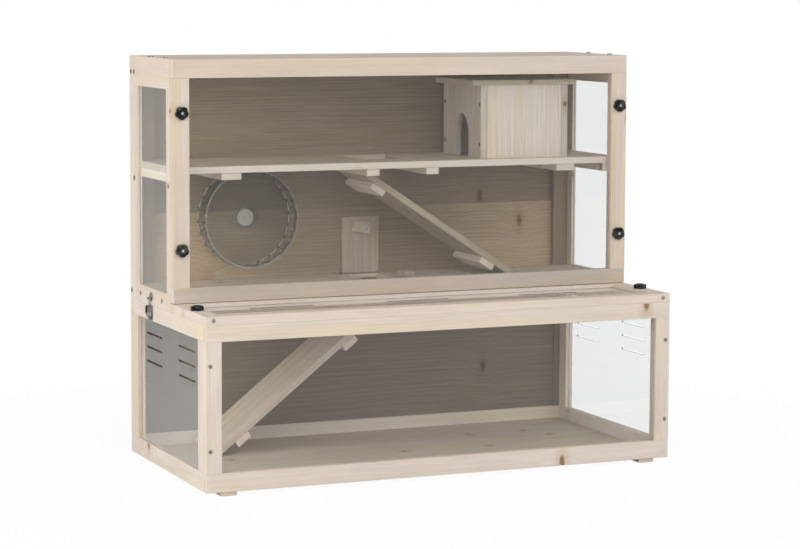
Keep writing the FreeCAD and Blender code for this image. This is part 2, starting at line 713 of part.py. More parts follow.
def build_cabinet():
    """The tall part: clear-sided frames, corner posts, back wall and roof."""
    left = "-half_width"
    inner = "-side_inner"
    sheet_blank, groove = glazing(
        "cabinet_side", "x", "side_thickness / 2 - half_width",
        [None, ("lid_back + side_stile", "corner_front - side_stile"),
         ("side_window_low", "side_window_high")])

    post_spots = [(left, "back_face - post_bolt_back", "crown_base - crown_bolt_drop"),
                  (left, "back_face - post_bolt_front", "crown_base - crown_bolt_drop"),
                  (left, "back_face - post_bolt_front", "lower_top + middle_bolt_height"),
                  (left, "back_face - post_bolt_back", "lower_top + foot_bolt_height")]
    post_bolts, post_bolt_holes = copies(long_bolt, "post_bolts", post_spots, ALONG_X)
    rail_spots = [(left, "back_face - foot_bolt_back", "lower_top + foot_bolt_height"),
                  (left, "lid_back + foot_bolt_front", "lower_top + foot_bolt_height")]
    rail_bolts, rail_bolt_holes = copies(long_bolt, "rail_bolts", rail_spots, ALONG_X)
    stile_spot = (left, "lid_back + side_stile / 2", "lower_top + middle_bolt_height")
    stile_bolt, stile_bolt_hole = copies(short_bolt, "stile_bolt", [stile_spot], ALONG_X)
    bearer_face = "side_thickness + bearer_width - half_width"
    bearer_z = "shelf_bearer_base + bearer_height / 2"
    bearer_spots = [(bearer_face, "lid_back + side_stile / 2", bearer_z),
                    (bearer_face, "corner_front - side_stile / 2", bearer_z)]
    bearer_bolts, bearer_bolt_holes = copies(proud_bolt, "bearer_bolts", bearer_spots, AGAINST_X)
    roof_spots = [("roof_bolt_inset - half_width", "back_face - roof_bolt_back", "cabinet_top"),
                  ("roof_bolt_inset - half_width", "lid_back + roof_bolt_front", "cabinet_top")]
    roof_bolts, roof_bolt_holes = copies(proud_bolt, "roof_bolts", roof_spots, AGAINST_Z)
    for bolts in (post_bolts, rail_bolts, stile_bolt, bearer_bolts, roof_bolts):
        root_bolts.append(both_sides(bolts))

    rails = [box("side_head", [left, "lid_back", "side_window_high"],
                 [inner, "corner_front", "roof_base"]),
             box("side_sill", [left, "lid_back", "lower_top"],
                 [inner, "corner_front", "side_window_low"])]
    side_rails = cut("side_rails_grooved", group("side_rails", rails),
                     [groove, rail_bolt_holes, roof_bolt_holes])
    node("cabinet_side_rails", both_sides(side_rails))

    stiles = [box("side_front_stile", [left, "lid_back", "side_window_low"],
                  [inner, "lid_back + side_stile", "side_window_high"]),
              box("side_back_stile", [left, "corner_front - side_stile", "side_window_low"],
                  [inner, "corner_front", "side_window_high"])]
    side_stiles = cut("side_stiles_grooved", group("side_stiles", stiles),
                      [groove, stile_bolt_hole, bearer_bolt_holes])
    node("cabinet_side_stiles", both_sides(side_stiles))
    node("cabinet_side_panels", both_sides(sheet_blank))

    corner = box("corner", [left, "corner_front", "lower_top"],
                 ["-corner_inner", "back_face", "crown_base"])
    node("back_corner_posts", both_sides(cut("corner_bored", corner, [post_bolt_holes])))
    node("back_crown_rail", box("crown", [left, "corner_front", "crown_base"],
                                ["half_width", "back_face", "cabinet_top"]))

    walls = [box("wall_lower", ["-corner_inner", "wall_front", "lower_top"],
                 ["corner_inner", "wall_front + wall_thickness",
                  "lower_top + wall_joint_height"]),
             box("wall_upper", ["-corner_inner", "wall_front", "lower_top + wall_joint_height"],
                 ["corner_inner", "wall_front + wall_thickness", "crown_base"])]
    node("back_wall_boards", group("wall_boards", walls))

    post_inner = "side_thickness + front_post_width - half_width"
    posts = [box("front_post_lower", [inner, "lid_back", "floor_top"],
                 [post_inner, "lid_back + front_post_depth", "shelf_bearer_base"]),
             box("front_post_upper", [inner, "lid_back", "shelf_top"],
                 [post_inner, "lid_back + front_post_depth", "roof_base"])]
    front_posts = cut("front_posts_bored", group("front_post_set", posts),
                      [stile_bolt_hole] + post_holes())
    node("front_posts", both_sides(front_posts))

    roof = box("roof", [left, "lid_back", "roof_base"], ["half_width", "corner_front", "cabinet_top"])
    node("roof_board", cut("roof_bored", roof, [both_sides(roof_bolt_holes)]))

    bearer_low = [inner, "bearer_front"]
    bearer_high = [bearer_face, "corner_front"]
    bearers = [box("floor_bearer", bearer_low + ["floor_bearer_base"],
                   bearer_high + ["floor_base"]),
               box("shelf_bearer", bearer_low + ["shelf_bearer_base"],
                   bearer_high + ["shelf_base"])]
    bored = cut("bearers_bored", group("bearer_set", bearers), [rail_bolt_holes, bearer_bolt_holes])
    node("cross_bearers", both_sides(bored))


def build_levels():
    """The cabinet's floor with its hatch hole, the shelf with its ramp hole, and the cleats."""
    notch = box("corner_notch", ["-half_width", "corner_front", "lower_top"],
                ["-corner_inner", "back_face", "roof_base"])
    notches = both_sides(notch)
    post_spot = ("floor_button_shift", "wall_front - floor_button_setback + button_pivot",
                 "floor_button_base + button_thickness")
    screw, hole = copies(floor_screw, "floor_button_screw", [post_spot], AGAINST_Z)
    root_screws.append(screw)

    floor = box("floor_blank", ["-side_inner", "bearer_front", "floor_base"],
                ["side_inner", "wall_front", "floor_top"])
    hatch = box("hatch_hole", ["-hatch_half", "hatch_front", "lower_top"],
                ["hatch_half", "hatch_back", "shelf_base"])
    node("cabinet_floor", cut("floor_cut", floor, [notches, hatch, hole]))

    shelf = box("shelf_blank", ["-side_inner", "bearer_front", "shelf_base"],
                ["side_inner", "wall_front", "shelf_top"])
    opening = box("ramp_hole", ["upper_ramp_head", "ramp_front", "floor_top"],
                  ["-upper_ramp_head", "ramp_back", "roof_base"])
    node("shelf", cut("shelf_cut", shelf, [notches, opening]))

    cleats = []
    for kind in ("outer", "inner"):
        cleats.append(box(
            f"{kind}_cleat",
            [f"-{kind}_cleat_offset - {kind}_cleat_width / 2", "bearer_front + bearer_setback",
             "shelf_base - cleat_height"],
            [f"{kind}_cleat_width / 2 - {kind}_cleat_offset", "corner_front", "shelf_base"]))
    node("shelf_cleats", both_sides(group("cleats", cleats)))

    post = cylinder("button_post_blank", "button_post_diameter",
                    "floor_button_base - button_play - (floor_top)",
                    post_spot[:2] + ("floor_top",))
    node("button_post", cut("button_post_bored", post, [hole]))
    base = "floor_button_base"
    block = box("floor_button_blank",
                ["floor_button_shift - button_width / 2",
                 "wall_front - floor_button_setback", base],
                ["floor_button_shift + button_width / 2",
                 "wall_front - floor_button_setback + button_length", f"{base} + button_thickness"])
    node("floor_turn_button", cut("floor_button_bored", block, [hole]))


def build_ramps():
    """The two ramps, each with two battens across its underside."""
    rise = "upper_ramp_run * tan(upper_ramp_angle)"
    edge = "ramp_thickness / cos(upper_ramp_angle)"
    foot = "upper_ramp_foot"
    upper = prism(
        "upper_ramp_board", "XZ_Plane",
        [(foot, "floor_top"),
         (f"{foot} + ramp_thickness * sin(upper_ramp_angle)",
          "floor_top + ramp_thickness * cos(upper_ramp_angle)"),
         ("upper_ramp_head", f"floor_top + {rise} + {edge}"),
         ("upper_ramp_head", f"floor_top + {rise}")],
        "ramp_width", (0, "ramp_back", 0))
    node("upper_ramp", upper)

    foot = "lower_ramp_foot"
    run = "lower_ramp_rise / tan(lower_ramp_angle)"
    slant = "ramp_thickness / sin(lower_ramp_angle)"
    lower = prism(
        "lower_ramp_board", "XZ_Plane",
        [(foot, "lower_floor_top"),
         (f"{foot} + {run}", "floor_base"),
         (f"{foot} + {run} - {slant}", "floor_base"),
         (f"{foot} - ramp_thickness * sin(lower_ramp_angle)",
          "lower_floor_top + ramp_thickness * cos(lower_ramp_angle)")],
        "ramp_width", (0, "ramp_back", 0))
    node("lower_ramp", lower)

    battens = []
    for name, level, way in (("upper", "floor_top", 1), ("lower", "lower_floor_top", -1)):
        angle = f"{name}_ramp_angle"
        for end in ("foot", "head"):
            start = f"{end}_batten_distance + {way} * ramp_batten_length / 2"
            batten = box(f"{name}_{end}_batten", [0, 0, 0],
                         ["ramp_batten_length", "ramp_width", "ramp_batten_height"])
            batten.Placement = FreeCAD.Placement(
                FreeCAD.Vector(), FreeCAD.Rotation(FreeCAD.Vector(0, 1, 0), 10))
            bind(batten, "Placement.Rotation.Angle", f"{way} * {angle}")
            bind(batten, "Placement.Base.x",
                 f"{name}_ramp_foot - {way} * (({start}) * cos({angle}) "
                 f"+ ramp_batten_height * sin({angle}))")
            bind(batten, "Placement.Base.y", "ramp_front")
            bind(batten, "Placement.Base.z",
                 f"{level} + ({start}) * sin({angle}) - ramp_batten_height * cos({angle})")
            battens.append(batten)
    node("ramp_battens", group("batten_set", battens))


def build_hatch():
    """The flap that stands behind the hatch hole, its pins and brackets, and its turn button."""
    half = "flap_width / 2"
    foot = cylinder("flap_foot", "flap_thickness", "flap_width",
                    (f"-{half}", "hatch_axis_y", "hatch_axis_z"), ALONG_X)
    leaf = box("flap_leaf", [f"-{half}", "flap_front", "hatch_axis_z"],
               [half, "flap_front + flap_thickness",
                "hatch_axis_z + flap_length - flap_thickness / 2"])
    bracket_inner = f"{half} + flap_play"
    bracket_outer = f"{bracket_inner} + hatch_bracket_thickness"
    pin = cylinder("hatch_pin", "hatch_pin_diameter",
                   "hatch_pin_depth + flap_play + hatch_bracket_thickness",
                   (f"-({bracket_outer})", "hatch_axis_y", "hatch_axis_z"), ALONG_X)
    pin_room = cylinder("hatch_pin_room", "hatch_pin_diameter + 2 * pin_play",
                        "hatch_pin_depth + flap_play + hatch_bracket_thickness + 2 * pin_play",
                        (f"-({bracket_outer}) - pin_play", "hatch_axis_y", "hatch_axis_z"),
                        ALONG_X)

    spot = ("flap_button_shift", "flap_front - button_play - button_thickness",
            "hatch_axis_z + flap_button_height")
    screw, hole = copies(flap_screw, "flap_button_screw_set", [spot], ALONG_Y)
    flap = cut("flap_bored", fuse("flap_blank", [foot, leaf]), [both_sides(pin_room), hole])
    node("hatch_flap", flap)
    node("hatch_pins", both_sides(pin))
    node("flap_button_screw", screw)

    plate = box("hatch_bracket_plate",
                [f"-({bracket_outer})", "wall_front - hatch_bracket_depth", "floor_top"],
                [f"-({bracket_inner})", "wall_front", "floor_top + hatch_bracket_height"])
    flange = box("hatch_bracket_flange",
                 [f"-({bracket_outer}) - hatch_bracket_foot",
                  "wall_front - hatch_bracket_depth", "floor_top"],
                 [f"-({bracket_outer})", "wall_front", "floor_top + hatch_bracket_thickness / 2"])
    bracket = cut("hatch_bracket", fuse("hatch_bracket_blank", [plate, flange]), [pin_room])
    node("hatch_brackets", both_sides(bracket))

    block = box("flap_button_blank",
                ["button_pivot - button_length", 0, "-button_width / 2"],
                ["button_pivot", "button_thickness", "button_width / 2"])
    centre_hole = copy_of(flap_screw[1], "flap_button_bore", (0, 0, 0), ALONG_Y)
    button = cut("flap_button_bored", block, [centre_hole])
    put(button, spot)
    button.Placement = FreeCAD.Placement(
        FreeCAD.Vector(), FreeCAD.Rotation(FreeCAD.Vector(0, 1, 0), 5))
    bind(button, "Placement.Rotation.Angle", "button_tilt")
    node("flap_turn_button", button)


def build_hut():
    """The hut on the shelf, with a pointed doorway in its left wall."""
    levels = ("shelf_top + hut_screw_rise", "hut_wall_top - hut_screw_drop")
    rows = ("hut_front + hut_board / 2", "hut_back - hut_board / 2")
    screws = []
    holes = []
    for side, face, turn in (("left", "hut_left", ALONG_X), ("right", "hut_right", AGAINST_X)):
        spots = [(face, row, level) for row in rows for level in levels]
        made, bored = copies(hut_screw, f"hut_{side}_screws", spots, turn)
        screws.append(made)
        holes.append(bored)
    root_screws.extend(screws)

    left = box("hut_left_blank", ["hut_left", "hut_front", "shelf_top"],
               ["hut_left + hut_board", "hut_back", "hut_wall_top"])
    right = box("hut_right_blank", ["hut_right - hut_board", "hut_front", "shelf_top"],
                ["hut_right", "hut_back", "hut_wall_top"])
    ends = [box(f"hut_{name}_board", ["hut_left + hut_board + hut_board_play", start, "shelf_top"],
                ["hut_right - hut_board - hut_board_play", end, "hut_wall_top"])
            for name, start, end in (("front", "hut_front", "hut_front + hut_board"),
                                     ("back", "hut_back - hut_board", "hut_back"))]

    spring = "shelf_top + doorway_side_height"
    shift = "doorway_arc - doorway_width / 2"
    arcs = [cylinder(f"doorway_arc_{name}", "2 * (doorway_arc)", "3 * hut_board",
                     ("hut_left - hut_board", f"doorway_middle {sign} ({shift})", spring), ALONG_X)
            for name, sign in (("front", "-"), ("back", "+"))]
    point = common("doorway_point", arcs)
    sides = box("doorway_sides",
                ["hut_left - hut_board", "doorway_middle - doorway_width / 2",
                 "shelf_top - hut_board"],
                ["hut_left + 2 * hut_board", "doorway_middle + doorway_width / 2", spring])
    doorway = fuse("doorway", [point, sides])

    node("hut_left_wall", cut("hut_left_cut", left, [doorway, holes[0]]))
    node("hut_right_wall", cut("hut_right_cut", right, [holes[1]]))
    node("hut_end_boards", cut("hut_ends_cut", group("hut_ends", ends), holes))
    node("hut_roof", box("hut_roof_board",
                         ["hut_left - hut_roof_overhang", "hut_front", "hut_wall_top"],
                         ["hut_right + hut_roof_overhang", "hut_back",
                          "hut_wall_top + hut_roof_thickness"]))


def build_wheel():
    """The clear running wheel on an axle in the back wall."""
    axis_x = "wheel_axis_x"
    outer = cylinder("wheel_outer", "wheel_diameter", "wheel_depth",
                     (axis_x, "wheel_front", "wheel_axis_z"), ALONG_Y)
    inner = cylinder("wheel_inner", "wheel_diameter - 2 * wheel_wall", "2 * wheel_depth",
                     (axis_x, "wheel_front - wheel_wall", "wheel_axis_z"), ALONG_Y)
    bore = cylinder("wheel_bore", "axle_diameter + 2 * axle_play", "wheel_depth",
                    (axis_x, "hub_front - wheel_wall", "wheel_axis_z"), ALONG_Y)
    slots = []
    count = SIZES["wheel_slots"]
    for number in range(count):
        slot = box(f"wheel_slot_{number}", [0, 0, 0],
                   ["wheel_slot_width", "wheel_slot_length", "wheel_wall * 3"])
        turn = 360 / count * number
        slot.Placement = FreeCAD.Placement(
            FreeCAD.Vector(), FreeCAD.Rotation(FreeCAD.Vector(0, 1, 0), turn))
        reach = "(wheel_diameter / 2 - 2 * wheel_wall)"
        half = "(wheel_slot_width / 2)"
        bind(slot, "Placement.Base.x",
             f"{axis_x} + {reach} * sin({turn}) - {half} * cos({turn})")
        bind(slot, "Placement.Base.y",
             "wheel_back - wheel_wall - wheel_slot_setback - wheel_slot_length")
        bind(slot, "Placement.Base.z",
             f"wheel_axis_z + {reach} * cos({turn}) + {half} * sin({turn})")
        slots.append(slot)
    rim = cut("wheel_rim_cut", outer, [inner])
    node("wheel_rim", cut("wheel_rim_slotted", rim, slots))
    disc = cylinder("wheel_disc_blank", "wheel_diameter - 2 * wheel_wall", "wheel_wall",
                    (axis_x, "wheel_back - wheel_wall", "wheel_axis_z"), ALONG_Y)
    node("wheel_disc", cut("wheel_disc_bored", disc, [bore]))

    hub = cylinder("hub_blank", "hub_diameter", "hub_length",
                   (axis_x, "hub_front", "wheel_axis_z"), ALONG_Y)
    node("wheel_hub", cut("hub_bored", hub, [bore]))

    cap_front = "hub_front - wheel_side_play - axle_cap_thickness"
    axle = [cylinder("axle_shank", "axle_diameter", f"wall_front - ({cap_front})",
                     (axis_x, cap_front, "wheel_axis_z"), ALONG_Y),
            cylinder("axle_cap", "axle_cap_diameter", "axle_cap_thickness",
                     (axis_x, cap_front, "wheel_axis_z"), ALONG_Y),
            cylinder("axle_flange", "axle_flange_diameter", "axle_flange_thickness",
                     (axis_x, "wall_front - axle_flange_thickness", "wheel_axis_z"), ALONG_Y)]
    node("wheel_axle", fuse("axle", axle))


def knob_patterns():
    """A five-lobed knob head standing on its seat, and its insert with a long or a short stud."""
    blank = cylinder("knob_blank", "knob_diameter", "knob_height")
    dome = doc.addObject("Part::Sphere", "knob_dome")
    bind(dome, "Radius", "knob_dome")
    put(dome, (0, 0, "knob_height - knob_dome"))
    domed = common("knob_domed", [blank, dome])
    count = SIZES["knob_lobes"]
    hollows = [cylinder(f"knob_hollow_{number}", "knob_hollow_diameter", "3 * knob_height",
                        (f"knob_hollow_ring / 2 * cos({360 / count * number})",
                         f"knob_hollow_ring / 2 * sin({360 / count * number})", "-knob_height"))
               for number in range(count)]
    insert_room = cylinder("knob_insert_room", "knob_insert_diameter", "3 * knob_height",
                           (0, 0, "-knob_height"))
    dish = doc.addObject("Part::Sphere", "knob_dish")
    bind(dish, "Radius", "knob_dish_radius")
    put(dish, (0, 0, "knob_height - knob_dish_depth + knob_dish_radius"))
    head = cut("knob_head", domed, hollows)
    head = cut("knob_head_dished", head, [dish])
    head = cut("knob_head_bored", head, [insert_room])
    studs = []
    for kind, reach in (("door", "door_thickness + door_stud_reach"),
                        ("lid", "lid_thickness - stud_play")):
        insert = cylinder(f"{kind}_insert", "knob_insert_diameter", "knob_insert_height")
        shank = cylinder(f"{kind}_shank", "stud_diameter", reach, (0, 0, f"-({reach})"))
        studs.append(fuse(f"{kind}_stud", [insert, shank]))
    return head, studs[0], studs[1]


def build_knobs():
    """Four star knobs on the door and two on the lid."""
    head, door_stud, lid_stud = knob_patterns()
    lobe_down = FreeCAD.Rotation(FreeCAD.Vector(0, 0, 1), 180 / SIZES["knob_lobes"] - 90)
    for side, sign in (("left", -1), ("right", 1)):
        for level in ("upper", "lower"):
            knob = group(f"door_{side}_{level}_knob_set", [head, door_stud])
            put(knob, (f"{sign} * (half_width - knob_inset)", "door_front",
                       f"knob_{level}_z"), AGAINST_Y * lobe_down)
            node(f"door_{side}_{level}_knob", knob)
        knob = group(f"lid_{side}_knob_set", [head, lid_stud])
        put(knob, (f"{sign} * (half_width - lid_rail / 2)", "front_face + lid_knob_setback",
                   "lid_top"), lobe_down)
        node(f"lid_{side}_knob", knob)


def latch_pieces():
    """The left latch, with X as the distance out from the cage's left face.

    Its base is on the lower box, its catch on the cabinet. The lever swings on the base's two
    pins and its loop pulls the catch's hook down.
    """
    half = "latch_plate_width / 2"
    plate = box("latch_plate", [0, f"-{half}", "lower_top - 1 - latch_plate_height"],
                ["latch_plate_thickness", half, "lower_top - 1"])
    ears = []
    pins = []
    for name, sign in (("front", -1), ("back", 1)):
        near = f"({half} - latch_ear_thickness)"
        low = f"-{half}" if sign < 0 else near
        high = f"-{near}" if sign < 0 else half
        ears.append(box(
            f"latch_ear_{name}", ["latch_plate_thickness", low, "latch_pin_z - latch_ear_height / 2"],
            ["latch_plate_thickness + latch_ear_depth", high,
             "latch_pin_z + latch_ear_height / 2"]))
        tip = "(lever_cheek_gap / 2 - latch_play)"
        start = f"-{half}" if sign < 0 else tip
        pins.append(cylinder(f"latch_pin_{name}", "latch_pin_diameter", f"{half} - {tip}",
                             ("latch_pin_x", start, "latch_pin_z"), ALONG_Y))
    base = fuse("latch_base", [plate] + ears + pins)

    catch_z = "loop_top + 2"
    disc = cylinder("catch_disc", "catch_diameter", "catch_thickness",
                    (0, 0, catch_z), ALONG_X)
    floor_low = "loop_top - loop_wire / 2 - hook_clearance - latch_plate_thickness"
    lip_inner = "loop_x + loop_wire / 2 + 2.2"
    hook_floor = box("hook_floor", ["latch_plate_thickness", "-hook_width / 2", floor_low],
                     [f"{lip_inner} + latch_plate_thickness", "hook_width / 2",
                      f"{floor_low} + latch_plate_thickness"])
    hook_lip = box("hook_lip", [lip_inner, "-hook_width / 2", floor_low],
                   [f"{lip_inner} + latch_plate_thickness", "hook_width / 2",
                    f"{floor_low} + latch_plate_thickness + hook_lip"])
    catch = fuse("latch_catch", [disc, hook_floor, hook_lip])

    gap = "lever_cheek_gap / 2"
    outer = f"({gap} + lever_cheek_thickness)"
    wedge = prism(
        "lever_wedge", "XZ_Plane",
        [("lever_inner", "lever_crown_z"), ("lever_outer", "lever_crown_z"),
         ("lever_outer", "loop_z"), ("lever_tip_rise + lever_tip_thickness", "lever_tip_z"),
         ("lever_tip_rise", "lever_tip_z"), ("lever_inner", "loop_z - lever_root")],
        f"2 * {outer}", (0, outer, 0))
    outline = prism(
        "lever_outline", "YZ_Plane",
        [(f"-{outer}", "lever_crown_z + 1"), (f"-{outer}", "loop_z - lever_root"),
         ("-lever_tip_width / 2", "lever_tip_z - 1"), ("lever_tip_width / 2", "lever_tip_z - 1"),
         (outer, "loop_z - lever_root"), (outer, "lever_crown_z + 1")],
        "lever_outer + 1", (0, 0, 0))
    rooms = [box("lever_room", [0, f"-{gap}", "loop_z"],
                 ["lever_outer + 1", gap, "lever_crown_z + 1"]),
             box("lever_root_room", [0, f"-{gap}", "loop_z - lever_root / 2"],
                 ["lever_outer - lever_root_wall", gap, "loop_z + 1"])]
    bores = [cylinder("lever_pin_bore", "latch_pin_diameter + 2 * latch_play",
                      "2 * latch_plate_width", ("latch_pin_x", "-latch_plate_width", "latch_pin_z"),
                      ALONG_Y),
             cylinder("lever_loop_bore", "loop_wire + 2 * latch_play",
                      "2 * latch_plate_width", ("loop_x", "-latch_plate_width", "loop_z"),
                      ALONG_Y)]
    lever = cut("latch_lever", common("lever_blank", [wedge, outline]), rooms + bores)

    reach = "loop_width / 2"
    wires = [cylinder("loop_foot", "loop_wire", f"2 * {outer}", ("loop_x", f"-{outer}", "loop_z"),
                      ALONG_Y),
             cylinder("loop_head", "loop_wire", f"loop_width + loop_wire",
                      ("loop_x", f"-{reach} - loop_wire / 2", "loop_top"), ALONG_Y)]
    for name, sign in (("front", -1), ("back", 1)):
        wires.append(cylinder(f"loop_side_{name}", "loop_side_wire", "loop_height",
                              ("loop_x", f"{sign} * {reach}", "loop_z")))
    loop = fuse("latch_loop", wires)
    return base, catch, lever, loop


def build_latches():
    """A toggle latch on each side, joining the cabinet to the lower box."""
    outward = FreeCAD.Rotation(FreeCAD.Vector(0, 0, 1), 180)
    base, catch, lever, loop = latch_pieces()
    placed = []
    for piece in (base, catch, lever, loop):
        placed.append(copy_of(piece, f"{piece.Name}_left", ("-half_width", "latch_y", 0), outward))
    node("latch_bases", both_sides(placed[0]))
    node("latch_catches", both_sides(placed[1]))
    node("left_latch_lever", placed[2])
    node("left_latch_loop", placed[3])
    node("right_latch_lever", mirror(placed[2], (1, 0, 0)))
    node("right_latch_loop", mirror(placed[3], (1, 0, 0)))


def check_and_write():
    """Stop on any failed object, then write each sub-part's file."""
    doc.recompute()
    for item in doc.Objects:
        if "Invalid" in item.State or "Error" in item.State:
            raise RuntimeError(f"{item.Name} did not rebuild: {item.State}")
    for item in nodes:
        if item.Shape.isNull() or not item.Shape.isValid() or not item.Shape.Solids:
            raise RuntimeError(f"{item.Label} has no valid shape")
    os.makedirs("parts", exist_ok=True)
    for item in nodes:
        item.Shape.exportStep(f"parts/{item.Label}.step")
        print(item.Label, len(item.Shape.Solids), round(item.Shape.Volume))


build_lower_box()
build_lid()
build_door()
build_cabinet()
build_levels()
build_ramps()
build_hatch()
build_hut()
build_wheel()
build_knobs()
build_latches()
node("wood_screws", group("root_screw_set", root_screws))
node("frame_bolts", group("root_bolt_set", root_bolts))
check_and_write()
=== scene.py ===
import math
from collections import namedtuple

import bpy
from mathutils import Matrix, Vector


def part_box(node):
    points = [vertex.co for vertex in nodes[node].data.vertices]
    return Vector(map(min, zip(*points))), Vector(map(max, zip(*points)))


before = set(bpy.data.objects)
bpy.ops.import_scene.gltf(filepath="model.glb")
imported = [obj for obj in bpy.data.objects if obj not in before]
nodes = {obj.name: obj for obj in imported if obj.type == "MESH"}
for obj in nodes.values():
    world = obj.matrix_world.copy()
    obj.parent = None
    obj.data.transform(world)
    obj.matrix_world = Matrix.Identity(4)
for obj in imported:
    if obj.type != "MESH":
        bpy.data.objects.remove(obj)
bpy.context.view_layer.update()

WHITE = (1.0, 1.0, 1.0, 1.0)

# The camera at the photograph's viewing angle, in metres and radians, and how far it sees
CAMERA_PLACE = Vector((-2.3319, -5.4159, 1.1230))
CAMERA_YAW = 0.40038
CAMERA_PITCH = 0.09066
CAMERA_ROLL = 0.0034
CAMERA_LENS = 113.10
CAMERA_SHIFT = (0.0202, -0.0780)
CAMERA_REACH = 100

# Each lamp: its place, the point it faces, its width and height in metres, its power in watts
LAMPS = {
    "key": ((-0.8, -3.4, 2.5), (0.0, 0.0, 0.5), 2.0, 1.4, 34),
    "front_fill": ((1.5, -3.8, 2.0), (0.0, 0.0, 0.45), 2.2, 1.6, 22),
    "left_side": ((-2.6, -0.7, 0.9), (0.0, 0.0, 0.5), 1.6, 1.6, 29),
    "right_side": ((2.6, -0.8, 0.9), (0.0, 0.0, 0.5), 1.6, 1.6, 12),
    "top": ((0.0, -0.2, 3.6), (0.0, 0.0, 0.5), 2.4, 2.0, 10),
}
WORLD_LIGHT = 0.42
WORLD_TINT = (1.0, 0.99, 0.97, 1.0)

# The floor glows by FLOOR_GLOW below the cage, and fully from the far end of the fade, in metres
FLOOR_SIZE = 60
FLOOR_COLOUR = (0.86, 0.86, 0.86, 1)
FLOOR_GLOW = 0.95
FLOOR_FADE = (0.7, 1.6)


class Shader:
    """A material that is built up node by node. Any value may be a number or a socket."""

    def __init__(self, name):
        self.material = bpy.data.materials.new(name)
        self.material.use_nodes = True
        self.tree = self.material.node_tree
        self.tree.nodes.clear()
        self.output = self.add("ShaderNodeOutputMaterial")
        self.bsdf = self.add("ShaderNodeBsdfPrincipled")
        self.wire(self.bsdf.outputs[0], self.output.inputs["Surface"])

    def wire(self, value, socket):
        if isinstance(value, bpy.types.NodeSocket):
            self.tree.links.new(value, socket)
        else:
            socket.default_value = value

    def add(self, kind, **settings):
        node = self.tree.nodes.new(kind)
        for name, value in settings.items():
            setattr(node, name, value)
        return node

    def set(self, **values):
        for name, value in values.items():
            self.wire(value, self.bsdf.inputs[name.replace("_", " ")])

    def maths(self, operation, *values):
        node = self.add("ShaderNodeMath", operation=operation)
        for value, socket in zip(values, node.inputs):
            self.wire(value, socket)
        return node.outputs[0]

    def times(self, first, second):
        return self.maths("MULTIPLY", first, second)

    def plus(self, first, second):
        return self.maths("ADD", first, second)

    def vector(self, operation, *values):
        node = self.add("ShaderNodeVectorMath", operation=operation)
        for value, socket in zip(values, node.inputs):
            self.wire(value, socket)
        return node.outputs["Value" if operation == "LENGTH" else "Vector"]

    def scale(self, vector, amount):
        scaled = self.vector("SCALE", vector)
        self.wire(amount, scaled.node.inputs["Scale"])
        return scaled

    def join(self, x, y, z):
        node = self.add("ShaderNodeCombineXYZ")
        for value, socket in zip((x, y, z), node.inputs):
            self.wire(value, socket)
        return node.outputs[0]

    def split(self, vector):
        node = self.add("ShaderNodeSeparateXYZ")
        self.wire(vector, node.inputs[0])
        return node.outputs

    def place(self):
        return self.add("ShaderNodeTexCoord").outputs["Object"]

    def facing(self):
        """The surface's own direction, which turns with the piece."""
        return self.add("ShaderNodeTexCoord").outputs["Normal"]

    def island(self):
        """A number from 0 to 1 that is the same all over one board."""
        return self.add("ShaderNodeNewGeometry").outputs["Random Per Island"]

    def noise(self, vector, scale=1.0, detail=2.0, roughness=0.5, output="Fac"):
        node = self.add("ShaderNodeTexNoise")
        self.wire(vector, node.inputs["Vector"])
        self.wire(scale, node.inputs["Scale"])
        self.wire(detail, node.inputs["Detail"])
        self.wire(roughness, node.inputs["Roughness"])
        return node.outputs[output]

    def span(self, value, low, high, start=0.0, end=1.0):
        """value's place between low and high, as a number from start to end."""
        node = self.add("ShaderNodeMapRange", interpolation_type="SMOOTHSTEP")
        for item, socket in zip((value, low, high, start, end), node.inputs):
            self.wire(item, socket)
        return node.outputs[0]

    def mix(self, share, first, second, blend="MIX"):
        node = self.add("ShaderNodeMix", data_type="RGBA", blend_type=blend)
        self.wire(share, node.inputs[0])
        self.wire(first, node.inputs[6])
        self.wire(second, node.inputs[7])
        return node.outputs[2]

    def bump(self, height, strength, distance):
        node = self.add("ShaderNodeBump")
        self.wire(strength, node.inputs["Strength"])
        self.wire(distance, node.inputs["Distance"])
        self.wire(height, node.inputs["Height"])
        self.wire(node.outputs[0], self.bsdf.inputs["Normal"])

    def blend_surfaces(self, share, first, second):
        """Show the second surface by share and the first one by the rest."""
        both = self.add("ShaderNodeMixShader")
        self.wire(share, both.inputs[0])
        self.wire(first.outputs[0], both.inputs[1])
        self.wire(second.outputs[0], both.inputs[2])
        self.wire(both.outputs[0], self.output.inputs["Surface"])

    def let_lamps_through(self, tint):
        """Lamps shine through the surface, as through a clear sheet."""
        path = self.add("ShaderNodeLightPath")
        clear = self.add("ShaderNodeBsdfTransparent")
        self.wire(tint, clear.inputs[0])
        self.blend_surfaces(path.outputs["Is Shadow Ray"], self.bsdf, clear)


class WorldShader(Shader):
    """The same helpers for the world's own node tree."""

    def __init__(self, world):
        world.use_nodes = True
        self.tree = world.node_tree
        self.tree.nodes.clear()
        self.output = self.add("ShaderNodeOutputWorld")


def linear(red, green, blue):
    """A colour given as 0 to 255 screen values, for a shader."""
    parts = []
    for part in (red, green, blue):
        share = part / 255
        parts.append(share / 12.92 if share <= 0.04045 else ((share + 0.055) / 1.055) ** 2.4)
    return (*parts, 1.0)


